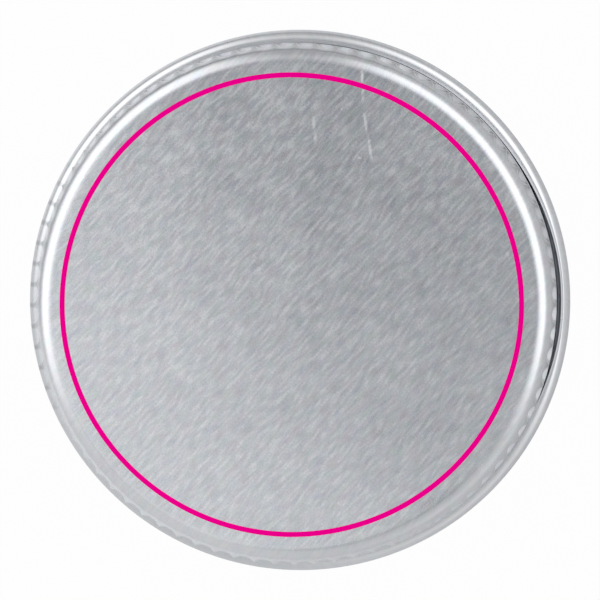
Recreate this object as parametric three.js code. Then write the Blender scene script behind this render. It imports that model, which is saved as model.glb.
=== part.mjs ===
// Lip balm tin: a round aluminium screw tin with a knurled lid, the foam liner in the lid and the balm in the base.
// Millimetres, +Z up. The origin is the middle of the flat ring that the tin stands on.
import * as THREE from "three";

const { clamp, degToRad, lerp, smoothstep } = THREE.MathUtils;

// The whole tin
const TIN_DIAMETER = 38; // over the lid's rolled hem, the widest place
const TIN_HEIGHT = 17;
const SHEET = 0.3; // the aluminium of the lid and the base

// The lid
const LID_HEIGHT = 10;
const SHOULDER_RADIUS = 1.35; // between the flat top and the wall
const KNURL_COUNT = 80;
const KNURL_DEPTH = 0.3;
const KNURL_HEIGHT = 2.45; // down the wall, below the shoulder
const KNURL_RUN_OUT = 0.2; // where the flutes fade at their lower ends
const KNURL_START = 40; // degrees round the shoulder, from the flat top, where the flutes begin
const HEM_WIDTH = 1; // of the edge rolled outwards, past the wall
const HEM_BEAD_RADIUS = 0.52; // at its outside, where it is rolled tightest
const HEM_SWEEP = 318; // degrees, until the edge nearly meets the wall
const HEM_LOOSENING = 0.05; // of the roll, towards its edge

// The screw thread that is rolled into the lid's wall and the base's neck
const THREAD_PITCH = 3;
const THREAD_DEPTH = 0.5;
const THREAD_WIDTH = 1.5;
const THREAD_RUN_OUT = 0.5; // of rise at each end
const THREAD_CLEARANCE = 0.25; // between a crest and the wall that it faces

// The base
const HEM_OVERHANG = 0.4; // of the hem past the base's wall
const BASE_CORNER_RADIUS = 1.6;
const LEDGE_CORNER_RADIUS = 0.7; // where the wall turns in under the lid
const NECK_FILLET_RADIUS = 0.5; // where the ledge turns up into the neck
const RIM_DIAMETER = 1.2; // the edge rolled inwards, round the mouth
const RIM_SWEEP = 285; // degrees
const FOOT_WIDTH = 2; // the flat ring that the tin stands on
const BOTTOM_RECESS = 0.6; // of the panel inside the foot
const RECESS_RAMP = 0.8;
const LEDGE_GAP = 0.3; // between the ledge and the hem of the closed lid

// The liner and the balm
const LINER_THICKNESS = 1;
const LINER_GAP = 0.1; // to the lid's top, and to the rim below
const LINER_SIDE_GAP = 0.15;
const BALM_HEADSPACE = 4.6; // from the rim down to the balm
const BALM_GAP = 0.1; // to the tin around it
const MENISCUS_HEIGHT = 0.25; // that the balm climbs at its edge
const MENISCUS_WIDTH = 1.2;

// How finely the round shapes are cut into facets
const SIDES = 48;
const SIDES_PER_FLUTE = 2;
const ROWS_PER_PITCH = 5;
const CURL_STEPS = 8;
const CORNER_STEPS = 3;
const FILLET_STEPS = 2;
const SLIGHT = 1e-6; // the same place, for all that it matters

// Radii that follow from the sizes above
const rimRadius = RIM_DIAMETER / 2;
const lidWallOutside = TIN_DIAMETER / 2 - HEM_WIDTH;
const lidWallInside = lidWallOutside - SHEET;
const neckOutside = lidWallInside - THREAD_DEPTH - THREAD_CLEARANCE;
const neckInside = neckOutside - SHEET;
const bodyOutside = TIN_DIAMETER / 2 - HEM_OVERHANG;
const footOutside = bodyOutside - BASE_CORNER_RADIUS;
const linerRadius = lidWallInside - KNURL_DEPTH - LINER_SIDE_GAP;

// Heights of the closed tin that follow from the sizes above
const lidBottom = TIN_HEIGHT - LID_HEIGHT;
const ledgeTop = lidBottom - LEDGE_GAP;
const filletZ = ledgeTop + NECK_FILLET_RADIUS;
const linerTop = TIN_HEIGHT - SHEET - LINER_GAP;
const linerBottom = linerTop - LINER_THICKNESS;
const rimTop = linerBottom - LINER_GAP;
const balmLevel = rimTop - BALM_HEADSPACE;
const shoulderZ = TIN_HEIGHT - SHOULDER_RADIUS;
const shoulderMiddle = SHOULDER_RADIUS - SHEET / 2;
const knurlTop = shoulderZ + shoulderMiddle * Math.cos(degToRad(KNURL_START));
const knurlBottom = shoulderZ - KNURL_HEIGHT;

// The middle of a thread's ridge stays between these heights, clear of the hem, the knurl, the ledge and the rim.
const threadTop = knurlBottom - THREAD_WIDTH / 2;
const lidThread = {
  start: ledgeTop + THREAD_PITCH / 2,
  low: lidBottom + HEM_WIDTH + SHEET + THREAD_WIDTH / 2,
  high: threadTop,
};
const neckThread = { start: ledgeTop, low: filletZ + THREAD_WIDTH / 2, high: threadTop };

// Points along an arc of a section, from one angle to another, in degrees.
function arc(r, z, radius, from, to, steps) {
  return Array.from({ length: steps + 1 }, (_, i) => {
    const angle = degToRad(from + ((to - from) * i) / steps);
    return new THREE.Vector2(r + radius * Math.cos(angle), z + radius * Math.sin(angle));
  });
}

// Points along a straight wall, its first end left out, close enough together for a thread to be rolled into it.
function rows(r, from, to) {
  const steps = Math.ceil((Math.abs(to - from) / THREAD_PITCH) * ROWS_PER_PITCH);
  return Array.from({ length: steps }, (_, i) => new THREE.Vector2(r, from + ((to - from) * (i + 1)) / steps));
}

// A section line moved to its left by a distance, with mitred corners.
function offset(line, distance) {
  const runs = line.slice(1).map((point, i) => point.clone().sub(line[i]).normalize());
  return line.map((point, i) => {
    const before = runs[Math.max(i - 1, 0)];
    const after = runs[Math.min(i, runs.length - 1)];
    const along = before.clone().add(after).normalize();
    return new THREE.Vector2(-along.y, along.x).multiplyScalar(distance / along.dot(before)).add(point);
  });
}

// One turn of a section's point about Z, pushed out by the relief at each angle; on the axis it is a single point.
function ring(point, sides, relief) {
  if (Math.abs(point.x) < SLIGHT) return [new THREE.Vector3(0, 0, point.y)];
  return Array.from({ length: sides }, (_, i) => {
    const angle = (2 * Math.PI * i) / sides;
    const r = point.x + relief(angle);
    return new THREE.Vector3(r * Math.cos(angle), r * Math.sin(angle), point.y);
  });
}

// The triangles between two rings of vertex numbers, which may differ in how many vertices they hold.
function stitch(a, b) {
  const endA = a.length > 1 ? a.length : 0;
  const endB = b.length > 1 ? b.length : 0;
  const faces = [];
  let i = 0;
  let j = 0;
  while (i < endA || j < endB) {
    const cornerA = a[i % a.length];
    const cornerB = b[j % b.length];
    const alongA = j >= endB || (i < endA && (i + 0.5) / endA < (j + 0.5) / endB);
    if (alongA) i += 1;
    else j += 1;
    faces.push(cornerA, cornerB, alongA ? a[i % a.length] : b[j % b.length]);
  }
  return faces;
}

// A closed surface over a run of rings that starts and ends on the axis.
function skin(rings) {
  const points = rings.flat();
  let count = 0;
  const numbered = rings.map((points) => points.map(() => count++));
  const faces = numbered.slice(1).flatMap((next, i) => stitch(numbered[i], next));
  const geometry = new THREE.BufferGeometry().setFromPoints(points);
  geometry.setIndex(faces);
  geometry.computeVertexNormals();
  return geometry;
}

// A solid piece: its section turned about Z, from the top of the axis to the bottom.
function turned(section) {
  return skin(section.map((point) => ring(point, SIDES, () => 0)));
}

// A piece pressed from sheet: its middle line turned about Z, with the same relief on both of its faces.
function pressedSheet(line, sidesAt, reliefAt) {
  const face = (distance) =>
    offset(line, distance).map((point, i) => ring(point, sidesAt(line[i]), (angle) => reliefAt(angle, line[i])));
  return skin([...face(SHEET / 2), ...face(-SHEET / 2).reverse()]);
}

// How far the ridge of a right-hand thread stands out at an angle and a height.
function threadRidge(angle, z, thread) {
  const turn = angle / (2 * Math.PI);
  const nearest = Math.round((z - thread.start) / THREAD_PITCH - turn);
  const middle = thread.start + (nearest + turn) * THREAD_PITCH;
  const across = clamp(Math.abs(z - middle) / (THREAD_WIDTH / 2), 0, 1);
  const fromEnd = Math.min(middle - thread.low, thread.high - middle);
  return THREAD_DEPTH * (0.5 + 0.5 * Math.cos(Math.PI * across)) * smoothstep(fromEnd, 0, THREAD_RUN_OUT);
}

// How far the wall is pressed in at an angle and a height, for flutes that meet in crests and run out at both ends.
function knurlFlute(angle, z) {
  const upper = 1 - smoothstep(z, shoulderZ, knurlTop);
  const lower = smoothstep(z, knurlBottom, knurlBottom + KNURL_RUN_OUT);
  return KNURL_DEPTH * Math.abs(Math.sin((KNURL_COUNT * angle) / 2)) * Math.min(upper, lower);
}

// The lid's edge: rolled outwards from the wall, tighter as it goes round, and back up until it nearly meets the wall.
function hemCurl(wall) {
  const middle = TIN_DIAMETER / 2 - HEM_BEAD_RADIUS;
  const wide = middle - wall;
  const tight = HEM_BEAD_RADIUS - SHEET / 2;
  const hemZ = lidBottom + (wide + tight + SHEET) / 2;
  return Array.from({ length: CURL_STEPS + 1 }, (_, i) => {
    const turned = (HEM_SWEEP * i) / CURL_STEPS;
    const rolled = lerp(wide, tight, smoothstep(turned, 0, 180));
    const radius = rolled + HEM_LOOSENING * smoothstep(turned, 180, HEM_SWEEP);
    const angle = degToRad(180 + turned);
    return new THREE.Vector2(middle + radius * Math.cos(angle), hemZ + radius * Math.sin(angle));
  });
}

function lidGeometry() {
  const wall = lidWallOutside - SHEET / 2;
  const shoulderR = lidWallOutside - SHOULDER_RADIUS;
  const hem = hemCurl(wall);
  const line = [
    new THREE.Vector2(0, TIN_HEIGHT - SHEET / 2),
    ...arc(shoulderR, shoulderZ, shoulderMiddle, 90, 90 - KNURL_START, 2),
    ...arc(shoulderR, shoulderZ, shoulderMiddle, 90 - KNURL_START, 0, 2).slice(1),
    new THREE.Vector2(wall, knurlBottom + KNURL_RUN_OUT),
    new THREE.Vector2(wall, knurlBottom),
    ...rows(wall, knurlBottom, hem[0].y),
    ...hem.slice(1),
  ];
  const isKnurled = (z) => z > knurlBottom - SLIGHT && z < knurlTop + SLIGHT;
  return pressedSheet(
    line,
    (point) => (isKnurled(point.y) ? KNURL_COUNT * SIDES_PER_FLUTE : SIDES),
    (angle, point) => {
      if (isKnurled(point.y)) return -knurlFlute(angle, point.y);
      return point.x < wall + SLIGHT ? -threadRidge(angle, point.y, lidThread) : 0;
    },
  );
}

function baseMiddleLine(neckRows) {
  const wall = bodyOutside - SHEET / 2;
  const neck = neckOutside - SHEET / 2;
  const cornerMiddle = BASE_CORNER_RADIUS - SHEET / 2;
  const ledgeMiddle = LEDGE_CORNER_RADIUS - SHEET / 2;
  const filletMiddle = NECK_FILLET_RADIUS + SHEET / 2;
  const rimZ = rimTop - rimRadius;
  const rimMiddle = rimRadius - SHEET / 2;
  const footInside = footOutside - FOOT_WIDTH;
  return [
    new THREE.Vector2(0, BOTTOM_RECESS + SHEET / 2),
    new THREE.Vector2(footInside - RECESS_RAMP, BOTTOM_RECESS + SHEET / 2),
    new THREE.Vector2(footInside, SHEET / 2),
    ...arc(footOutside, BASE_CORNER_RADIUS, cornerMiddle, 270, 360, CORNER_STEPS),
    ...arc(wall - ledgeMiddle, ledgeTop - LEDGE_CORNER_RADIUS, ledgeMiddle, 0, 90, FILLET_STEPS),
    ...arc(neck + filletMiddle, filletZ, filletMiddle, 270, 180, FILLET_STEPS),
    ...neckRows,
    ...arc(neck - rimMiddle, rimZ, rimMiddle, 0, RIM_SWEEP, CURL_STEPS),
  ];
}

function baseGeometry() {
  const neck = neckOutside - SHEET / 2;
  return pressedSheet(
    baseMiddleLine(rows(neck, filletZ, knurlBottom)),
    () => SIDES,
    (angle, point) => (Math.abs(point.x - neck) < SLIGHT ? threadRidge(angle, point.y, neckThread) : 0),
  );
}

// The balm was poured in, so it has the inside of the base as its outside, up to its level.
function balmGeometry() {
  const edgeLevel = balmLevel + MENISCUS_HEIGHT;
  const inside = offset(baseMiddleLine([]), SHEET / 2 + BALM_GAP);
  const above = inside.findIndex((point) => point.y > edgeLevel);
  const [lower, upper] = [inside[above - 1], inside[above]];
  const edge = lower.clone().lerp(upper, (edgeLevel - lower.y) / (upper.y - lower.y));
  const meniscus = new THREE.QuadraticBezierCurve(
    edge,
    new THREE.Vector2(edge.x - MENISCUS_WIDTH / 4, balmLevel),
    new THREE.Vector2(edge.x - MENISCUS_WIDTH, balmLevel),
  );
  const surface = [...meniscus.getPoints(CORNER_STEPS), new THREE.Vector2(0, balmLevel)];
  return turned([...inside.slice(0, above), ...surface].reverse());
}

// A die-cut disc, its upper edge eased so that it lies under the lid's shoulder.
function linerGeometry() {
  const easing = SHOULDER_RADIUS / 2;
  const section = [
    new THREE.Vector2(0, linerTop),
    new THREE.Vector2(linerRadius - easing, linerTop),
    new THREE.Vector2(linerRadius, linerTop - easing),
    new THREE.Vector2(linerRadius, linerBottom),
    new THREE.Vector2(0, linerBottom),
  ];
  return turned(section);
}

function piece(name, geometry, color, roughness, metalness) {
  const mesh = new THREE.Mesh(geometry, new THREE.MeshStandardMaterial({ color, roughness, metalness }));
  mesh.name = name;
  return mesh;
}

const base = new THREE.Group();
base.add(piece("tin_base", baseGeometry(), 0xc4c7ca, 0.3, 1));
base.add(piece("balm", balmGeometry(), 0xf1e6c4, 0.5, 0));

const lid = new THREE.Group();
lid.add(piece("lid", lidGeometry(), 0xb4b7ba, 0.4, 1));
lid.add(piece("lid_liner", linerGeometry(), 0xf4f4f1, 0.9, 0));

const tin = new THREE.Group();
tin.add(base, lid);

export default tin;
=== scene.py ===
import math
import bpy
from mathutils import Matrix, Vector


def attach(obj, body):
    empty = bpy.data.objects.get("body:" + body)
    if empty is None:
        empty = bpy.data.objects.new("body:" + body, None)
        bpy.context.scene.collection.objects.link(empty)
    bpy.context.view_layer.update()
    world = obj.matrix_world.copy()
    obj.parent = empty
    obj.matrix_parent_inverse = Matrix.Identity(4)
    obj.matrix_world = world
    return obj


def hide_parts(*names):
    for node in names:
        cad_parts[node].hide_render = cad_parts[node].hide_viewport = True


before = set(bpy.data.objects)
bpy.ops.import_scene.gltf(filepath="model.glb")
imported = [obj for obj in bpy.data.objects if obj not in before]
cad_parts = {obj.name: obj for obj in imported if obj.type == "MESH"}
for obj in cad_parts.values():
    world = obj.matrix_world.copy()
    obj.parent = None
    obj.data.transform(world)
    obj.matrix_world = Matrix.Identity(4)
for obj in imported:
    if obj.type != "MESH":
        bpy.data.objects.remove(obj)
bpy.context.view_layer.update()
mm = 0.001
print("frame loaded:", sorted(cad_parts))

tin = {  # what the lid and the base share, in mm
    "radius": 19.0, "height": 17.0, "sheet": 0.3, "lidHeight": 10.0,
    "ridgePitch": 3.0, "ridgeDepth": 0.5, "ridgeWidth": 1.5, "ridgeRunOut": 0.5, "ridgeClearance": 0.31,
    "ledgeGap": 0.3, "linerGap": 0.1, "linerThickness": 1.0,
}
tin["hemBottom"] = tin["height"] - tin["lidHeight"]
tin["ledgeTop"] = tin["hemBottom"] - tin["ledgeGap"]
tin["linerTop"] = tin["height"] - tin["sheet"] - tin["linerGap"]
tin["linerBottom"] = tin["linerTop"] - tin["linerThickness"]
tin["rimTop"] = tin["linerBottom"] - tin["linerGap"]


class Wire:  # a socket that does sums: each operator adds a Math node to the socket's tree
    def __init__(self, tree, socket=None):
        self.tree = tree
        self.socket = socket

    def node(self, kind, settings=None, inputs=None, out=0):
        made = self.tree.nodes.new(kind)
        for key, value in (settings or {}).items():
            if key == "stops":
                setStops(made.color_ramp, value)
            else:
                setattr(made, key, value)
        for key, value in (inputs or {}).items():
            plug(self.tree, value, made.inputs[key])
        return Wire(self.tree, made.outputs[out] if len(made.outputs) else made)

    def math(self, operation, *values):
        return self.node("ShaderNodeMath", {"operation": operation}, dict(enumerate(values)))

    def __add__(self, other):
        return self.math("ADD", self, other)

    def __radd__(self, other):
        return self.math("ADD", other, self)

    def __sub__(self, other):
        return self.math("SUBTRACT", self, other)

    def __rsub__(self, other):
        return self.math("SUBTRACT", other, self)

    def __mul__(self, other):
        return self.math("MULTIPLY", self, other)

    def __rmul__(self, other):
        return self.math("MULTIPLY", other, self)

    def __truediv__(self, other):
        return self.math("DIVIDE", self, other)

    def __rtruediv__(self, other):
        return self.math("DIVIDE", other, self)

    def step(self, low, high):  # eases from 0 at low to 1 at high
        settings = {"interpolation_type": "SMOOTHSTEP"}
        return self.node("ShaderNodeMapRange", settings, {0: self, 1: low, 2: high, 3: 0.0, 4: 1.0})

    def axis(self, index):
        return self.node("ShaderNodeSeparateXYZ", None, {0: self}, index)

    def blend(self, low, high):  # from one colour to another as the value goes from 0 to 1
        return self.node("ShaderNodeMix", {"data_type": "RGBA"}, {0: self, 6: low, 7: high}, 2)


def plug(tree, value, socket):
    if isinstance(value, Wire):
        tree.links.new(value.socket, socket)
    else:
        socket.default_value = value


def setStops(ramp, stops):
    while len(ramp.elements) < len(stops):
        ramp.elements.new(1.0)
    for element, (position, colour) in zip(ramp.elements, stops):
        element.position = position
        element.color = colour


def sine(degrees):
    return math.sin(math.radians(degrees))


def cosine(degrees):
    return math.cos(math.radians(degrees))


def ease(value, low, high):
    t = min(max((value - low) / (high - low), 0.0), 1.0)
    return t * t * (3 - 2 * t)


# Sections: lists of (r, z, flute, ridge, reach, gape), turned about Z later.
# The reach is the length along the sheet from the axis, and the rest are shares of a depth.

def arc(r, z, radius, start, end, steps):
    turns = [math.radians(start + (end - start) * i / steps) for i in range(steps + 1)]
    return [(r + radius * math.cos(a), z + radius * math.sin(a)) for a in turns]


def straight(first, last, steps):  # both ends left out
    return [tuple(a + (b - a) * i / steps for a, b in zip(first, last)) for i in range(1, steps)]


def beside(line, distance):  # the line moved to its left, corners mitred
    runs = [(Vector(b) - Vector(a)).normalized() for a, b in zip(line, line[1:])]
    moved = []
    for i, point in enumerate(line):
        before, after = runs[max(i - 1, 0)], runs[min(i, len(runs) - 1)]
        along = (before + after).normalized()
        side = Vector((-along.y, along.x)) * (distance / along.dot(before))
        moved.append((point[0] + side.x, point[1] + side.y))
    return moved


def lengthsAlong(line):
    reach = [0.0]
    for a, b in zip(line, line[1:]):
        reach.append(reach[-1] + math.dist(a, b))
    return reach


def sheetSection(line, thickness, flutes, ridges, gapes):  # both faces of a sheet that follows the line
    marks = list(zip(flutes, ridges, lengthsAlong(line), gapes))
    outer = [p + m for p, m in zip(beside(line, thickness / 2), marks)]
    inner = [p + m for p, m in zip(beside(line, -thickness / 2), marks)]
    return outer + inner[::-1]


def solidSection(line):
    return [p + (0.0, 0.0, d, 0.0) for p, d in zip(line, lengthsAlong(line))]


# The tree that turns a section about Z and presses flutes, a thread and a gape into it

turning = {"weld": 1e-7, "sharpFrom": 40.0, "gapeCore": 0.1}  # metres, degrees, share of the spread
turnInputs = [
    ("Sides", "NodeSocketInt"), ("Flutes", "NodeSocketInt"), ("Flute Depth", "NodeSocketFloat"),
    ("Ridge Depth", "NodeSocketFloat"), ("Ridge Width", "NodeSocketFloat"),
    ("Ridge Pitch", "NodeSocketFloat"), ("Ridge Start", "NodeSocketFloat"),
    ("Ridge Low", "NodeSocketFloat"), ("Ridge High", "NodeSocketFloat"),
    ("Ridge Run Out", "NodeSocketFloat"), ("Gape", "NodeSocketFloat"), ("Gape Angle", "NodeSocketFloat"),
    ("Gape Spread", "NodeSocketFloat"), ("Gape Trail", "NodeSocketFloat"), ("Finish", "NodeSocketMaterial"),
]


def turnTree():
    tree = bpy.data.node_groups.new("turnSection", "GeometryNodeTree")
    tree.interface.new_socket("Geometry", in_out="INPUT", socket_type="NodeSocketGeometry")
    for name, kind in turnInputs:
        tree.interface.new_socket(name, in_out="INPUT", socket_type=kind)
    tree.interface.new_socket("Geometry", in_out="OUTPUT", socket_type="NodeSocketGeometry")
    w = Wire(tree)
    given = {name: w.node("NodeGroupInput", None, None, name) for name, kind in turnInputs}
    section = w.node("NodeGroupInput")
    count = w.node("GeometryNodeAttributeDomainSize", {"component": "MESH"}, {0: section})
    grid = w.node("GeometryNodeMeshGrid", None, {"Vertices X": given["Sides"] + 1, "Vertices Y": count})
    index = w.node("GeometryNodeInputIndex")
    row = w.math("MODULO", index, count)
    column = w.math("FLOOR", (index + 0.5) / count)

    def sampled(field, kind):
        return w.node("GeometryNodeSampleIndex", {"data_type": kind},
                      {"Geometry": section, "Value": field, "Index": row})

    def marked(name):
        mark = w.node("GeometryNodeInputNamedAttribute", {"data_type": "FLOAT"}, {"Name": name})
        return sampled(mark, "FLOAT")

    place = sampled(w.node("GeometryNodeInputPosition"), "FLOAT_VECTOR")
    r, z = place.axis(0), place.axis(2)
    turn = column / given["Sides"]
    angle = turn * math.tau
    hollow = w.math("ABSOLUTE", w.math("SINE", angle * given["Flutes"] * 0.5)) * marked("flute")
    nearest = w.math("ROUND", (z - given["Ridge Start"]) / given["Ridge Pitch"] - turn)
    middle = given["Ridge Start"] + (nearest + turn) * given["Ridge Pitch"]
    across = w.math("MINIMUM", w.math("ABSOLUTE", z - middle) / (given["Ridge Width"] * 0.5), 1.0)
    fromEnd = w.math("MINIMUM", middle - given["Ridge Low"], given["Ridge High"] - middle)
    ridge = (0.5 + 0.5 * w.math("COSINE", across * math.pi)) * fromEnd.step(0.0, given["Ridge Run Out"])
    past = angle - given["Gape Angle"]
    away = w.math("ARCCOSINE", w.math("COSINE", past))
    away = away / (1 + w.math("GREATER_THAN", w.math("SINE", past), 0.0) * (given["Gape Trail"] - 1))
    gape = (1 - away.step(given["Gape Spread"] * turning["gapeCore"], given["Gape Spread"])) * marked("gape")
    pressed = r + ridge * given["Ridge Depth"] * marked("ridge") - hollow * given["Flute Depth"]
    pressed = pressed + gape * given["Gape"]
    alongX, alongY = w.math("COSINE", angle), w.math("SINE", angle)
    turned = w.node("ShaderNodeCombineXYZ", None, {0: pressed * alongX, 1: pressed * alongY, 2: z})
    reach = marked("reach")
    flat = w.node("ShaderNodeCombineXYZ", None, {0: reach * alongX, 1: reach * alongY, 2: 0.0})
    shape = w.node("GeometryNodeSetPosition", None, {"Geometry": grid, "Position": turned})
    for name, kind, field in (("sheetPlace", "FLOAT_VECTOR", flat), ("hollow", "FLOAT", hollow)):
        shape = w.node("GeometryNodeStoreNamedAttribute", {"data_type": kind, "domain": "POINT"},
                       {"Geometry": shape, "Name": name, "Value": field})
    shape = w.node("GeometryNodeMergeByDistance", None, {"Geometry": shape, "Distance": turning["weld"]})
    shape = w.node("GeometryNodeFlipFaces", None, {0: shape})
    shape = w.node("GeometryNodeSetShadeSmooth", {"domain": "FACE"}, {"Geometry": shape})
    bend = w.node("GeometryNodeInputMeshEdgeAngle")
    isSharp = w.math("GREATER_THAN", bend, math.radians(turning["sharpFrom"]))
    shape = w.node("GeometryNodeSetShadeSmooth", {"domain": "EDGE"},
                   {"Geometry": shape, "Selection": isSharp, "Shade Smooth": False})
    shape = w.node("GeometryNodeRealizeInstances", None, {0: shape})
    shape = w.node("GeometryNodeSetMaterial", None, {"Geometry": shape, "Material": given["Finish"]})
    w.node("NodeGroupOutput", None, {0: shape})
    return tree


turner = turnTree()


def turnPiece(name, section, values):
    mesh = bpy.data.meshes.new(name)
    edges = [(i, i + 1) for i in range(len(section) - 1)]
    mesh.from_pydata([(r * mm, 0.0, z * mm) for r, z, *_ in section], edges, [])
    for k, mark in enumerate(("flute", "ridge", "reach", "gape")):
        scale = mm if mark == "reach" else 1.0
        attribute = mesh.attributes.new(mark, "FLOAT", "POINT")
        attribute.data.foreach_set("value", [p[2 + k] * scale for p in section])
    piece = bpy.data.objects.new(name, mesh)
    bpy.context.scene.collection.objects.link(piece)
    modifier = piece.modifiers.new("turn", "NODES")
    modifier.node_group = turner
    keys = {item.name: item.identifier for item in turner.interface.items_tree if item.in_out == "INPUT"}
    for key, value in values.items():
        modifier[keys[key]] = value
    graph = bpy.context.evaluated_depsgraph_get()
    shown = piece.evaluated_get(graph)
    made = bpy.data.meshes.new_from_object(shown, preserve_all_data_layers=True, depsgraph=graph)
    piece.modifiers.clear()
    piece.data = made
    made.name = name
    print(name, "turned:", len(made.polygons), "faces")
    return piece


def noRelief(finish, sides):
    return {"Sides": sides, "Flutes": 1, "Flute Depth": 0.0, "Ridge Depth": 0.0, "Ridge Width": mm,
            "Ridge Pitch": mm, "Ridge Start": 0.0, "Ridge Low": 0.0, "Ridge High": 0.0, "Ridge Run Out": mm,
            "Gape": 0.0, "Gape Angle": 0.0, "Gape Spread": 1.0, "Gape Trail": 1.0, "Finish": finish}


# Finishes

def facingMask(x, y, flat, at, outer, inner):  # 1 towards a compass angle, 0 from the outer angle on
    return ((x * cosine(at) + y * sine(at)) / flat).step(cosine(outer), cosine(inner))


def flatLength(w, x, y):  # distance from the Z axis, kept off 0 so that it can divide
    return w.math("MAXIMUM", w.math("SQRT", x * x + y * y), 1e-4)


def beyond(reach, start, rise):  # 1 past a length along the sheet, in mm
    return reach.step(start * mm, (start + rise) * mm)


def within(reach, start, rise, end, fall):  # 1 on a stretch of the sheet, in mm
    return beyond(reach, start, rise) * (1 - beyond(reach, end, fall))


def newFinish(name):
    finish = bpy.data.materials.new(name)
    finish.use_nodes = True
    finish.node_tree.nodes.clear()
    return finish, Wire(finish.node_tree)


def close(w, shader):
    w.node("ShaderNodeOutputMaterial", None, {"Surface": shader})


grainNoise = {"roughness": 0.6, "slant": 0.37}  # slant: how far a seed moves the noise sideways


def stretchedNoise(w, place, along, across, detail, seed, out=0):  # streaks along X of the place, in mm
    scaled = w.node("ShaderNodeVectorMath", {"operation": "MULTIPLY"},
                    {0: place, 1: (1 / (along * mm), 1 / (across * mm), 1.0)})
    moved = w.node("ShaderNodeVectorMath", {"operation": "ADD"},
                   {0: scaled, 1: (seed, seed * grainNoise["slant"], 0.0)})
    inputs = {"Vector": moved, "Scale": 1.0, "Detail": detail, "Roughness": grainNoise["roughness"]}
    return w.node("ShaderNodeTexNoise", {"noise_dimensions": "2D"}, inputs, out)


scratch = {"fadeIn": 0.2, "fadeOut": 0.7, "core": 0.2}  # shares of its length, and of its width


def scratchMask(w, place, start, end, width):  # 1 on a straight scratch between two points, in mm
    length = math.dist(start, end)
    turn = math.atan2(end[1] - start[1], end[0] - start[0])
    shifted = w.node("ShaderNodeVectorMath", {"operation": "SUBTRACT"},
                     {0: place, 1: (start[0] * mm, start[1] * mm, 0.0)})
    laid = w.node("ShaderNodeVectorRotate", {"rotation_type": "Z_AXIS"},
                  {"Vector": shifted, "Angle": -turn})
    x, y = laid.axis(0), w.math("ABSOLUTE", laid.axis(1))
    ends = 1 - x.step(scratch["fadeOut"] * length * mm, length * mm)
    ends = x.step(0.0, scratch["fadeIn"] * length * mm) * ends
    return ends * (1 - y.step(scratch["core"] * width * mm, width * mm))


brushed = {
    # The grain: its direction in degrees, then length and width in mm and detail of each kind of streak
    "grain": 48.5, "streakHeight": 0.006, "streak": (1.5, 0.3, 0.5), "hair": (0.8, 0.2, 0.5),
    "fine": (0.14, 0.09, 1.0), "tinge": (1.2, 0.7, 2.0), "tingeShare": 0.25,
    "swayScale": 420.0, "sway": 0.35, "cloudScale": 160.0, "cloudShare": 0.3,
    "streakRange": (0.2, 0.8), "fleckRange": (0.58, 0.74), "fleckShare": 0.12,
    "streakShare": (0.2, 0.38), "fineShare": (0.3, 0.62),  # all over, and more on the panel
    "deeper": 0.45, "deeperRange": (-6.0, 14.0),  # brushed deeper towards the top of the photograph
    "streakBump": 0.8, "fineBump": 0.2, "edgeBump": 0.2,
    "stops": [(0.0, (0.66, 0.67, 0.70, 1)), (0.4, (0.765, 0.78, 0.81, 1)),
              (0.62, (0.82, 0.83, 0.86, 1)), (1.0, (0.965, 0.97, 0.985, 1))],
    # Zones, in mm along the sheet: start and blur, and for a stretch its end and blur too
    "panel": (16.4, 0.6), "fluted": (17.6, 0.6, 20.8, 0.3), "ledge": (20.75, 0.15, 21.1, 0.15),
    "matte": (20.2, 0.5), "rolled": (25.0, 0.6), "pocket": (26.3, 0.3, 27.6, 0.3),
    "gap": (27.5, 0.3), "crest": (28.35, 0.35), "cutEdge": (28.8, 0.2),
    # Sides, in degrees: middle, and how far from it the zone's look ends and is full
    "unshadedRidgeSide": (270.0, 80.0, 40.0),  # where the ridges between the flutes get no painted shade
    "shadedLedgeSide": (32.0, 38.0, 20.0),  # where the flutes' ends are darker with painted shade
    "ridgeReflectionSide": (178.0, 34.0, 14.0),  # where a painted reflection of the ridges breaks the hem's bright line
    "dullShadedSide": (220.0, 70.0, 32.0),  # where the hem is rougher and darker with painted shade that dims its highlight
    # the dark colour of the painted shade in the flutes and of the painted reflection of the ridges in the
    # hem
    "paintedDarkTone": (0.42, 0.43, 0.45, 1), "valleyShadeShare": 0.15, "ridgeShadeShare": 0.72, "ridgeRange": (0.1, 0.5),
    # painted shade on the flutes' ends on one side, and a painted reflection of the ridges in the hem
    "ledgeShadeShare": 0.6, "ridgeReflectionShare": 0.6, "gapRange": (0.1, 0.55), "gapShift": 1.1,
    # painted shade on one side of the hem
    "dullSideShadeTone": (0.64, 0.65, 0.67, 1), "dullSideShadeShare": 0.5,
    # painted highlight on the hem's crest
    "crestTone": (0.95, 0.955, 0.965, 1), "crestShare": 0.6,
    # painted shade inside the hem's curl and on its cut edge
    "pocketShadeTone": (0.28, 0.28, 0.29, 1), "pocketShadeShare": 0.5, "cutEdgeShadeShare": 0.3,
    "edgeRoughness": 0.25, "panelRoughness": 0.29, "matteRoughness": 0.5, "rolledRoughness": 0.29,
    "dullRougher": 0.2, "streakRougher": 0.05, "fleckRougher": 0.06, "cloudRougher": 0.05,
    "scratchRougher": 0.08, "scratchLeast": 0.55, "scratchMore": 0.6, "scratchRange": (0.3, 0.62),
    "scratches": [  # start, end and width on the panel, mm; strength
        ((1.28, 13.35), (1.52, 10.80), 0.17, 0.55),
        ((4.67, 16.15), (4.72, 15.15), 0.13, 1.05),
        ((4.74, 15.00), (4.76, 13.95), 0.16, 0.60),
        ((4.81, 13.30), (5.10, 11.40), 0.13, 0.62),
        ((5.10, 11.70), (5.38, 9.75), 0.14, 0.75),
        ((3.22, 13.47), (3.36, 13.48), 0.13, 1.20),
        ((4.35, 10.12), (4.67, 10.12), 0.11, 0.65),
        ((-3.14, 12.75), (-3.20, 12.10), 0.10, 0.35),
        ((14.06, 4.31), (14.54, 3.93), 0.14, 0.30),
        ((14.54, 3.93), (14.83, 3.14), 0.14, 0.30),
    ],
}


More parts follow.
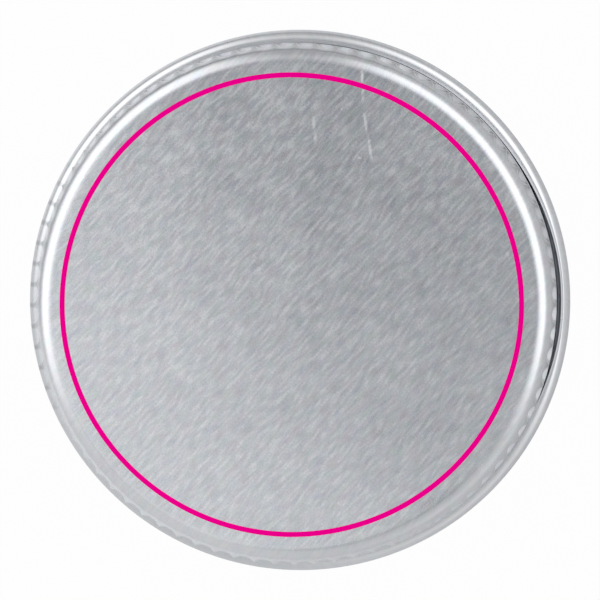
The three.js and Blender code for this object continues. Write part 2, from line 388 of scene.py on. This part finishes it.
def brushedAluminium(name, look, seed):
    finish, w = newFinish(name)
    place = w.node("ShaderNodeAttribute", {"attribute_name": "sheetPlace"}, None, 1)
    hollow = w.node("ShaderNodeAttribute", {"attribute_name": "hollow"}, None, 2)
    x, y = place.axis(0), place.axis(1)
    reach = w.node("ShaderNodeVectorMath", {"operation": "LENGTH"}, {0: place}, 1)
    panel = 1 - beyond(reach, *look["panel"])

    # The grain, which sways a little
    sway = w.node("ShaderNodeTexNoise", {"noise_dimensions": "2D"},
                  {"Vector": place, "Scale": look["swayScale"], "Detail": 1.0}, 1)
    wander = w.node("ShaderNodeVectorMath", {"operation": "SCALE"}, {0: sway, "Scale": look["sway"] * mm})
    swayed = w.node("ShaderNodeVectorMath", {"operation": "ADD"}, {0: place, 1: wander})
    grain = w.node("ShaderNodeVectorRotate", {"rotation_type": "Z_AXIS"},
                   {"Vector": swayed, "Angle": -math.radians(look["grain"])})
    streaks = stretchedNoise(w, grain, *look["streak"], seed)
    hairs = stretchedNoise(w, grain, *look["hair"], seed + 7.0)
    fine = stretchedNoise(w, grain, *look["fine"], seed + 13.0)
    hues = stretchedNoise(w, grain, *look["tinge"], seed + 23.0, 1)
    cloud = w.node("ShaderNodeTexNoise", {"noise_dimensions": "2D"},
                   {"Vector": place, "Scale": look["cloudScale"], "Detail": 3.0, "Roughness": 0.55})
    brush = streaks * 0.5 + hairs * 0.5
    flecks = hairs.step(*look["fleckRange"]) * look["fleckShare"]
    low, high = look["deeperRange"]
    depth = 1 + look["deeper"] * y.step(low * mm, high * mm)
    allOver, onPanel = look["streakShare"]
    tone = (brush.step(*look["streakRange"]) - 0.5 + flecks) * (allOver + onPanel * panel) * depth
    allOver, onPanel = look["fineShare"]
    tone = 0.5 + tone + (cloud - 0.5) * look["cloudShare"]
    tone = tone + (fine - 0.5) * (allOver + onPanel * panel) * depth
    scratched = 0.0
    for start, end, width, strength in look["scratches"]:
        scratched = scratchMask(w, place, start, end, width) * strength + scratched
    broken = look["scratchLeast"] + look["scratchMore"] * hairs.step(*look["scratchRange"])
    scratched = scratched * broken  # the grain shows through
    colour = w.node("ShaderNodeValToRGB", {"stops": look["stops"]}, {0: tone + scratched})
    colour = w.node("ShaderNodeMix", {"data_type": "RGBA", "blend_type": "OVERLAY"},
                    {0: look["tingeShare"], 6: colour, 7: hues}, 2)

    # The hem: rougher with painted shade on one side, a painted highlight on its crest, painted shade inside
    # the curl and on its cut edge
    matte, rolled = beyond(reach, *look["matte"]), beyond(reach, *look["rolled"])
    dullAndShaded = facingMask(x, y, reach, *look["dullShadedSide"]) * rolled
    crest = beyond(reach, *look["crest"]) * (1 - dullAndShaded)
    # painted highlight: a paler colour on the hem's crest brightens its reflection
    colour = (crest * look["crestShare"]).blend(colour, look["crestTone"])
    # painted shade: the hem darker on one side, which dims its highlight there
    colour = (dullAndShaded * look["dullSideShadeShare"]).blend(colour, look["dullSideShadeTone"])
    # painted shade inside the hem's curl and along its cut edge
    inside = within(reach, *look["pocket"]) * look["pocketShadeShare"]
    inside = inside + beyond(reach, *look["cutEdge"]) * look["cutEdgeShadeShare"]
    colour = inside.blend(colour, look["pocketShadeTone"])

    # The flutes: painted shade in the valleys, on the ridges and on the flutes' ends on one side, and a
    # painted reflection of the ridges in the hem
    ridges = within(reach, *look["fluted"]) * (1 - hollow.step(*look["ridgeRange"]))
    ridges = ridges * (1 - facingMask(x, y, reach, *look["unshadedRidgeSide"]))
    # painted shade on the flutes' ends on one side
    ledge = within(reach, *look["ledge"]) * facingMask(x, y, reach, *look["shadedLedgeSide"])
    # painted reflection: darker breaks in the hem's bright line where the ridges are mirrored
    around = w.math("ARCTAN2", y, x) - math.radians(look["gapShift"])
    across = w.math("ABSOLUTE", w.math("SINE", around * (lid["flutes"] / 2)))
    paintedRidgeReflections = (1 - across.step(*look["gapRange"])) * beyond(reach, *look["gap"])
    paintedRidgeReflections = paintedRidgeReflections * facingMask(x, y, reach, *look["ridgeReflectionSide"])
    # painted shade in the flute valleys and on the ridges between them
    share = hollow * look["valleyShadeShare"] + ridges * look["ridgeShadeShare"]
    share = share + ledge * look["ledgeShadeShare"] + paintedRidgeReflections * look["ridgeReflectionShare"]
    colour = share.blend(colour, look["paintedDarkTone"])

    roughness = look["edgeRoughness"] + panel * (look["panelRoughness"] - look["edgeRoughness"])
    roughness = roughness + matte * (look["matteRoughness"] - look["edgeRoughness"])
    roughness = roughness + rolled * (look["rolledRoughness"] - look["matteRoughness"])
    roughness = roughness + dullAndShaded * look["dullRougher"] + (brush - 0.5) * look["streakRougher"]
    roughness = roughness + flecks * look["fleckRougher"] + (cloud - 0.5) * look["cloudRougher"]
    roughness = roughness + scratched * look["scratchRougher"]
    height = brush * look["streakBump"] + fine * look["fineBump"]
    height = height * (look["edgeBump"] + (1 - look["edgeBump"]) * panel)
    bump = w.node("ShaderNodeBump", None,
                  {"Strength": 1.0, "Distance": look["streakHeight"] * mm, "Height": height})
    shader = w.node("ShaderNodeBsdfPrincipled", None,
                    {"Base Color": colour, "Metallic": 1.0, "Roughness": roughness, "Normal": bump})
    close(w, shader)
    return finish


foam = {
    "colour": (0.90, 0.90, 0.885, 1), "shade": (0.80, 0.80, 0.785, 1), "cell": 0.22, "depth": 0.035,
    "cellRange": (0.25, 0.75), "cellShare": 0.6, "driftScale": 350.0, "driftRange": (0.35, 0.65),
    "driftShare": 0.4, "bump": 0.8, "roughness": 0.75, "rougher": 0.15,
}


def cellFoam(name, look):
    finish, w = newFinish(name)
    place = w.node("ShaderNodeTexCoord", None, None, 3)
    cells = w.node("ShaderNodeTexVoronoi", {"feature": "SMOOTH_F1"},
                   {"Vector": place, "Scale": 1 / (look["cell"] * mm)})
    drift = w.node("ShaderNodeTexNoise", None, {"Vector": place, "Scale": look["driftScale"], "Detail": 2.0})
    shade = cells.step(*look["cellRange"]) * look["cellShare"]
    shade = shade + drift.step(*look["driftRange"]) * look["driftShare"]
    colour = shade.blend(look["colour"], look["shade"])
    roughness = look["roughness"] + drift * look["rougher"]
    bump = w.node("ShaderNodeBump", None,
                  {"Strength": look["bump"], "Distance": look["depth"] * mm, "Height": 1 - cells})
    shader = w.node("ShaderNodeBsdfPrincipled", None,
                    {"Base Color": colour, "Roughness": roughness, "Normal": bump})
    close(w, shader)
    return finish


wax = {
    "colour": (0.93, 0.86, 0.69, 1), "pale": (0.97, 0.93, 0.82, 1), "cloudScale": 260.0,
    "cloudRange": (0.3, 0.7), "gritScale": 2600.0, "gritShare": 0.12, "ripple": 0.05, "bump": 0.6,
    "roughness": 0.32, "rougher": 0.22,
    "glow": 0.25, "glowDepth": 1.2, "glowSpread": (1.0, 0.75, 0.45),  # light that goes into the wax
}


def balmWax(name, look):
    finish, w = newFinish(name)
    place = w.node("ShaderNodeTexCoord", None, None, 3)
    cloud = w.node("ShaderNodeTexNoise", None,
                   {"Vector": place, "Scale": look["cloudScale"], "Detail": 4.0, "Roughness": 0.55})
    grit = w.node("ShaderNodeTexNoise", None, {"Vector": place, "Scale": look["gritScale"], "Detail": 3.0})
    colour = cloud.step(*look["cloudRange"]).blend(look["colour"], look["pale"])
    roughness = look["roughness"] + cloud * look["rougher"]
    height = cloud + grit * look["gritShare"]
    bump = w.node("ShaderNodeBump", None,
                  {"Strength": look["bump"], "Distance": look["ripple"] * mm, "Height": height})
    shader = w.node("ShaderNodeBsdfPrincipled", None,
                    {"Base Color": colour, "Roughness": roughness, "Normal": bump,
                     "Subsurface Weight": look["glow"], "Subsurface Scale": look["glowDepth"] * mm,
                     "Subsurface Radius": look["glowSpread"]})
    close(w, shader)
    return finish


ink = {
    "colour": (0.98, 0.0, 0.30, 1), "worn": (0.95, 0.0, 0.28, 1), "grainScale": 6000.0,
    "grainRange": (0.3, 0.7), "roughness": 0.55, "rougher": 0.1,
}


def printInk(name, look):
    finish, w = newFinish(name)
    place = w.node("ShaderNodeTexCoord", None, None, 3)
    grain = w.node("ShaderNodeTexNoise", None, {"Vector": place, "Scale": look["grainScale"], "Detail": 2.0})
    colour = grain.step(*look["grainRange"]).blend(look["colour"], look["worn"])
    roughness = look["roughness"] + grain * look["rougher"]
    shader = w.node("ShaderNodeBsdfPrincipled", None,
                    {"Base Color": colour, "Roughness": roughness, "Specular IOR Level": 0.0})
    close(w, shader)
    return finish


# The lid

lid = {
    "shoulder": 1.4, "flutes": 80, "fluteDepth": 0.3, "fluteBottom": 13.2, "fluteRunOut": 0.1,
    "fluteStart": 42.0, "fluteFull": 80.0,  # slopes of the shoulder between which the flutes deepen
    "hem": 0.94, "bead": 0.64, "hemSweep": 295.0, "hemTightens": 180.0,
    "hemLoosens": 0.03, "loosensFrom": 250.0,
    # The gape, where the hem's edge stands off the wall: depth in mm, place and spread in degrees
    "gape": 0.28, "gapeAt": 0.5, "gapeSpread": 32.0, "gapeTrail": 1.3, "gapeSteps": 5,
    "flatEdge": 0.4, "bendSteps": 16, "wallSteps": 4, "runOutSteps": 3, "threadSteps": 16, "hemSteps": 26,
    "sides": 640,
}
lid["wall"] = tin["radius"] - lid["hem"]
lid["ridgeLow"] = tin["hemBottom"] + lid["hem"] + tin["sheet"] + tin["ridgeWidth"] / 2
tin["ridgeTop"] = lid["fluteBottom"] - tin["ridgeWidth"] / 2


def hemCurl(wall):  # the sheet's edge rolled outwards, tighter as it goes round, and back to the wall
    tight = lid["bead"] - tin["sheet"] / 2
    middle = tin["radius"] - lid["bead"]
    wide = middle - wall
    z = tin["hemBottom"] + (wide + tight + tin["sheet"]) / 2
    curl = []
    for i in range(lid["hemSteps"] + 1):
        turned = lid["hemSweep"] * i / lid["hemSteps"]
        radius = wide + (tight - wide) * ease(turned, 0.0, lid["hemTightens"])
        radius += lid["hemLoosens"] * ease(turned, lid["loosensFrom"], lid["hemSweep"])
        angle = math.radians(180.0 + turned)
        curl.append((middle + radius * math.cos(angle), z + radius * math.sin(angle)))
    return curl


def lidSection():
    t = tin["sheet"]
    wall = lid["wall"] - t / 2
    bend = lid["shoulder"] - t / 2
    bendR, bendZ = lid["wall"] - lid["shoulder"], tin["height"] - lid["shoulder"]
    bottom, runOut, bendSteps = lid["fluteBottom"], lid["fluteRunOut"], lid["bendSteps"]
    top = tin["height"] - t / 2
    line = [(0.0, top), (bendR / 2, top), (bendR - lid["flatEdge"], top)]
    flutes = [0.0] * len(line)
    line += arc(bendR, bendZ, bend, 90, 0, bendSteps)
    slopes = [90 * i / bendSteps for i in range(bendSteps + 1)]
    flutes += [ease(slope, lid["fluteStart"], lid["fluteFull"]) for slope in slopes]
    lower = straight((wall, bendZ), (wall, bottom + runOut), lid["wallSteps"]) + [(wall, bottom + runOut)]
    lower += straight((wall, bottom + runOut), (wall, bottom), lid["runOutSteps"])
    line += lower
    flutes += [ease(z, bottom, bottom + runOut) for r, z in lower]
    above, curl = len(line), hemCurl(wall)
    line += [(wall, bottom)] + straight((wall, bottom), curl[0], lid["threadSteps"]) + curl
    below = len(line) - above
    ridges = [0.0] * above + [-1.0] * (below - len(curl)) + [0.0] * len(curl)
    last = len(line) - 1
    gapes = [ease(i, last - lid["gapeSteps"], last) for i in range(len(line))]
    return sheetSection(line, t, flutes + [0.0] * below, ridges, gapes)


def ridgeValues(start, low):
    return {"Ridge Depth": tin["ridgeDepth"] * mm, "Ridge Width": tin["ridgeWidth"] * mm,
            "Ridge Pitch": tin["ridgePitch"] * mm, "Ridge Run Out": tin["ridgeRunOut"] * mm,
            "Ridge Start": start * mm, "Ridge Low": low * mm, "Ridge High": tin["ridgeTop"] * mm}


lidFinish = brushedAluminium("brushedLid", brushed, 3.0)
lidShell = turnPiece("lidShell", lidSection(), {
    "Sides": lid["sides"], "Flutes": lid["flutes"], "Flute Depth": lid["fluteDepth"] * mm,
    "Gape": lid["gape"] * mm, "Gape Angle": math.radians(lid["gapeAt"]),
    "Gape Spread": math.radians(lid["gapeSpread"]), "Gape Trail": lid["gapeTrail"], "Finish": lidFinish,
    **ridgeValues(tin["ledgeTop"] + tin["ridgePitch"] / 2, lid["ridgeLow"]),
})
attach(lidShell, "lid")
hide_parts("lid")

# The base

base = {
    "overhang": 0.4, "corner": 1.6, "ledgeCorner": 0.7, "fillet": 0.5, "rim": 1.2, "rimSweep": 285.0,
    "foot": 2.0, "recess": 0.6, "ramp": 0.8, "flatEdge": 0.3, "onNeck": 1e-6,
    "rampSteps": 9, "cornerSteps": 10, "wallSteps": 4, "ledgeSteps": 6, "filletSteps": 5, "neckSteps": 30,
    "rimSteps": 16, "sides": 480,
}
base["wall"] = tin["radius"] - base["overhang"]
base["neck"] = lid["wall"] - tin["sheet"] - tin["ridgeDepth"] - tin["ridgeClearance"]
base["neckBottom"] = tin["ledgeTop"] + base["fillet"]


def baseLine(neckSteps):
    t = tin["sheet"]
    wall, neck = base["wall"] - t / 2, base["neck"] - t / 2
    corner, ledge, fillet = base["corner"] - t / 2, base["ledgeCorner"] - t / 2, base["fillet"] + t / 2
    footOut = base["wall"] - base["corner"]
    footIn = footOut - base["foot"]
    ledgeZ = tin["ledgeTop"] - base["ledgeCorner"]
    rimZ, curl = tin["rimTop"] - base["rim"] / 2, base["rim"] / 2 - t / 2
    floor = base["recess"] + t / 2
    rampR = footIn - base["ramp"]
    line = [(0.0, floor), (rampR / 2, floor), (rampR - base["flatEdge"], floor)]
    for i in range(1, base["rampSteps"] + 1):
        share = i / base["rampSteps"]
        line.append((rampR + base["ramp"] * share, floor - base["recess"] * ease(share, 0.0, 1.0)))
    line += [(footIn + base["flatEdge"], t / 2)]
    line += arc(footOut, base["corner"], corner, 270, 360, base["cornerSteps"])
    line += straight(line[-1], (wall, ledgeZ), base["wallSteps"])
    line += arc(wall - ledge, ledgeZ, ledge, 0, 90, base["ledgeSteps"])
    line += arc(neck + fillet, base["neckBottom"], fillet, 270, 180, base["filletSteps"])
    line += straight((neck, base["neckBottom"]), (neck, rimZ), neckSteps)
    line += arc(neck - curl, rimZ, curl, 0, base["rimSweep"], base["rimSteps"])
    return line


def baseSection():
    line = baseLine(base["neckSteps"])
    neck = base["neck"] - tin["sheet"] / 2
    ridges = [1.0 if abs(r - neck) < base["onNeck"] else 0.0 for r, z in line]
    plain = [0.0] * len(line)
    return sheetSection(line, tin["sheet"], plain, ridges, plain)


offSheet = (90.0, 1.0)  # beyond the base's sheet, which has no flutes and no hem
satin = {
    **brushed, "grain": 118.0, "scratches": [], "ridgeReflectionShare": 0.0,
    "panel": (13.6, 0.6), "edgeRoughness": 0.24, "panelRoughness": 0.3,
    "matte": offSheet, "rolled": offSheet, "crest": offSheet, "cutEdge": offSheet,
    "fluted": offSheet + offSheet, "ledge": offSheet + offSheet, "pocket": offSheet + offSheet,
}
baseFinish = brushedAluminium("satinBase", satin, 11.0)
baseShell = turnPiece("baseShell", baseSection(), {
    **noRelief(baseFinish, base["sides"]),
    **ridgeValues(tin["ledgeTop"], base["neckBottom"] + tin["ridgeWidth"] / 2),
})
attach(baseShell, "base")
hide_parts("tin_base")

# The foam liner, dented where the rim presses into it

liner = {
    "sideGap": 0.21, "dent": 0.06, "dentWidth": 1.0, "easing": 0.65, "edge": 0.12,
    "easingSteps": 6, "edgeSteps": 3, "dentSteps": 12, "sides": 320,
}
liner["radius"] = lid["wall"] - tin["sheet"] - lid["fluteDepth"] - liner["sideGap"]


def linerSection():
    low, high, radius = tin["linerBottom"], tin["linerTop"], liner["radius"]
    easing, edge = liner["easing"], liner["edge"]
    rim = base["neck"] - base["rim"] / 2
    line = [(0.0, high), (radius - easing, high)]
    line += arc(radius - easing, high - easing, easing, 90, 0, liner["easingSteps"])[1:]
    line += arc(radius - edge, low + edge, edge, 0, -90, liner["edgeSteps"])
    for i in range(1, liner["dentSteps"]):
        across = 1 - 2 * i / liner["dentSteps"]
        dent = liner["dent"] * (0.5 + 0.5 * math.cos(math.pi * across))
        line.append((rim + across * liner["dentWidth"] / 2, low + dent))
    line += [(rim - liner["dentWidth"] / 2, low), (rim / 2, low), (0.0, low)]
    return solidSection(line)


linerFinish = cellFoam("linerFoam", foam)
linerDisc = turnPiece("linerDisc", linerSection(), noRelief(linerFinish, liner["sides"]))
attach(linerDisc, "liner")
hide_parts("lid_liner")

# The balm, poured against the inside of the base

balm = {
    "headspace": 4.6, "gap": 0.1, "climb": 0.25, "climbWidth": 1.2, "climbCrowding": 1.6,
    "dip": 0.12, "dipFrom": 0.55, "neckSteps": 2, "climbSteps": 12, "dipSteps": 14, "sides": 320,
}


def balmSection():
    level = tin["rimTop"] - balm["headspace"]
    edgeZ = level + balm["climb"]
    inside = beside(baseLine(balm["neckSteps"]), tin["sheet"] / 2 + balm["gap"])
    over = next(i for i, p in enumerate(inside) if p[1] > edgeZ)
    wet = inside[:over]
    edgeR = wet[-1][0]
    surface = []
    for i in range(balm["climbSteps"] + 1):
        inward = (i / balm["climbSteps"]) ** balm["climbCrowding"] * balm["climbWidth"]
        surface.append((edgeR - inward, level + balm["climb"] * (1 - inward / balm["climbWidth"]) ** 2))
    for i in range(1, balm["dipSteps"] + 1):
        r = (edgeR - balm["climbWidth"]) * (1 - i / balm["dipSteps"])
        surface.append((r, level - balm["dip"] * ease(1 - r / edgeR, balm["dipFrom"], 1.0)))
    return solidSection((wet + surface)[::-1])


balmFinish = balmWax("balmWax", wax)
balmFill = turnPiece("balmFill", balmSection(), noRelief(balmFinish, balm["sides"]))
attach(balmFill, "base")
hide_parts("balm")

# The ring printed on the lid

ring = {"centre": (-0.17, 0.0), "radius": 16.0, "width": 0.35, "lift": 0.001, "height": 0.012, "sides": 360}


def printedRing():
    outer, inner = ring["radius"], ring["radius"] - ring["width"]
    low, high = tin["height"] + ring["lift"], tin["height"] + ring["height"]
    corners = [(inner, low), (outer, low), (outer, high), (inner, high)]
    points, faces = [], []
    for i in range(ring["sides"]):
        turn = math.tau * i / ring["sides"]
        for r, z in corners:
            x, y = ring["centre"][0] + r * math.cos(turn), ring["centre"][1] + r * math.sin(turn)
            points.append((x * mm, y * mm, z * mm))
    for i in range(ring["sides"]):
        here, there = 4 * i, 4 * ((i + 1) % ring["sides"])
        for k in range(4):
            n = (k + 1) % 4
            faces.append((here + k, here + n, there + n, there + k))
    mesh = bpy.data.meshes.new("printedRing")
    mesh.from_pydata(points, [], faces)
    mesh.materials.append(printInk("ringInk", ink))
    piece = bpy.data.objects.new("printedRing", mesh)
    bpy.context.scene.collection.objects.link(piece)
    print("printedRing made:", len(faces), "faces")
    return piece


ringPrint = printedRing()
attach(ringPrint, "lid")

# Camera: straight overhead but for a small lean towards the upper right of the picture

camera = {
    "distance": 450.0, "lean": 3.1, "towards": 39.0, "target": (0.024, 0.022),
    "field": 42.17, "sensor": 36.0, "near": 10.0,
}


def placeCamera():
    lean, towards = math.radians(camera["lean"]), math.radians(camera["towards"])
    target = Vector((*camera["target"], tin["hemBottom"] + lid["bead"])) * mm
    out = Vector((math.sin(lean) * math.cos(towards), math.sin(lean) * math.sin(towards), math.cos(lean)))
    side = Vector((0.0, 1.0, 0.0)).cross(out).normalized()
    up = out.cross(side)
    data = bpy.data.cameras.new("camera")
    data.sensor_width = camera["sensor"]
    data.lens = camera["sensor"] * camera["distance"] / camera["field"]
    data.clip_start = camera["near"] * mm
    eye = bpy.data.objects.new("camera", data)
    bpy.context.scene.collection.objects.link(eye)
    turn = Matrix((side, up, out)).transposed().to_4x4()
    eye.matrix_world = Matrix.Translation(target + out * camera["distance"] * mm) @ turn
    bpy.context.scene.camera = eye


placeCamera()
print("camera placed")

# Light: a grey tent with two soft boxes and fainter light and dark patches, and two lamps close by

tent = {
    "wall": 0.56, "zenith": 0.262, "dusk": (55.0, 85.0),
    "low": (0.99, 0.995, 1.0, 1), "high": (0.925, 0.96, 1.0, 1), "tinted": (62.0, 86.0),
    # Patches, in degrees: middle, half width and blur round the tent; lower and upper edge and blur; strength
    "patches": [
        (27.0, 50.0, 8.0, 34.0, 79.0, 8.0, 0.85),
        (153.0, 44.0, 9.0, 21.0, 67.0, 9.0, 0.8),
        (92.0, 15.0, 9.0, 15.0, 78.0, 12.0, -0.16),
        (315.0, 25.0, 15.0, 15.0, 42.0, 10.0, 0.14),
        (228.0, 40.0, 25.0, 0.0, 70.0, 14.0, 0.13),
        (97.0, 34.0, 26.0, -20.0, 9.0, 5.0, -0.32),
        (155.0, 30.0, 18.0, -20.0, 8.0, 5.0, -0.15),
    ],
}


def lightTent():
    world = bpy.data.worlds.new("tent")
    bpy.context.scene.world = world
    world.use_nodes = True
    world.node_tree.nodes.clear()
    w = Wire(world.node_tree)
    look = w.node("ShaderNodeTexCoord", None, None, 0)
    x, y, z = look.axis(0), look.axis(1), look.axis(2)
    flat = flatLength(w, x, y)
    start, end = tent["dusk"]
    level = tent["wall"] + z.step(sine(start), sine(end)) * (tent["zenith"] - tent["wall"])
    for at, half, blur, low, high, softness, strength in tent["patches"]:
        facing = facingMask(x, y, flat, at, half + blur, half - blur)
        rise = z.step(sine(low - softness), sine(low + softness))
        fall = 1 - z.step(sine(high - softness), sine(min(high + softness, 90.0)))
        level = level + facing * rise * fall * strength
    start, end = tent["tinted"]
    colour = z.step(sine(start), sine(end)).blend(tent["low"], tent["high"])
    sky = w.node("ShaderNodeBackground", None, {"Color": colour, "Strength": level})
    w.node("ShaderNodeOutputWorld", None, {"Surface": sky})


lightTent()

lamps = {  # places and sizes in mm, power in watts
    "key": {"at": (-25.8, -13.9, 100.6), "size": (80.0, 39.0), "power": 0.0043},
    "fill": {"at": (13.0, -21.0, 88.0), "size": (36.0, 23.0), "power": 0.00042},
}


def placeLamps():
    for name, lamp in lamps.items():
        data = bpy.data.lights.new(name, "AREA")
        data.shape = "RECTANGLE"
        data.size, data.size_y = lamp["size"][0] * mm, lamp["size"][1] * mm
        data.energy = lamp["power"]
        holder = bpy.data.objects.new(name, data)
        bpy.context.scene.collection.objects.link(holder)
        holder.visible_camera = False
        at = Vector(lamp["at"]) * mm
        aim = (Vector((0.0, 0.0, tin["height"] * mm)) - at).to_track_quat("-Z", "Y")
        holder.matrix_world = Matrix.Translation(at) @ aim.to_matrix().to_4x4()


placeLamps()

stage = {  # sizes in metres, but sink in mm
    "size": 4.0, "sink": 0.02, "white": (0.66, 0.67, 0.68, 1), "seen": 0.975, "mirrored": 0.6,
    # Painted shade in what the metal mirrors of the paper: bright towards one side, dimmer towards the other,
    # and darker far off on another
    "bright": 1.0, "dim": 0.56, "brightSide": (180.0, 180.0, 0.0),
    "far": (0.048, 0.08), "farSide": (130.0, 75.0, 35.0), "farShadeLoss": 0.45,
}


def layFloor():
    half = stage["size"] / 2
    z = -stage["sink"] * mm
    corners = [(-half, -half, z), (half, -half, z), (half, half, z), (-half, half, z)]
    mesh = bpy.data.meshes.new("floor")
    mesh.from_pydata(corners, [], [(0, 1, 2, 3)])
    finish, w = newFinish("paperFloor")
    direct = w.node("ShaderNodeLightPath", None, None, "Is Camera Ray")
    mirrored = w.node("ShaderNodeLightPath", None, None, "Is Glossy Ray")
    through = w.node("ShaderNodeLightPath", None, None, "Is Transmission Ray")
    shown = direct * stage["seen"] + (mirrored + through) * stage["mirrored"]
    place = w.node("ShaderNodeTexCoord", None, None, 3)
    x, y = place.axis(0), place.axis(1)
    flat = flatLength(w, x, y)
    # painted shade on the floor, seen only in reflections: dimmer away from one side and darker far off on
    # another
    facing = facingMask(x, y, flat, *stage["brightSide"])
    near = stage["dim"] + facing * (stage["bright"] - stage["dim"])
    far = facingMask(x, y, flat, *stage["farSide"]) * flat.step(*stage["far"])
    shade = direct + (1 - direct) * near * (1 - far * stage["farShadeLoss"])
    tint = shade.blend((0, 0, 0, 1), (1, 1, 1, 1))
    paper = w.node("ShaderNodeBsdfDiffuse", None, {"Color": stage["white"]})
    glow = w.node("ShaderNodeEmission", None, {"Color": tint, "Strength": 1.0})
    close(w, w.node("ShaderNodeMixShader", None, {0: shown, 1: paper, 2: glow}))
    mesh.materials.append(finish)
    floor = bpy.data.objects.new("floor", mesh)
    bpy.context.scene.collection.objects.link(floor)


layFloor()
bpy.context.scene.view_settings.view_transform = "Standard"
print("light and floor set")
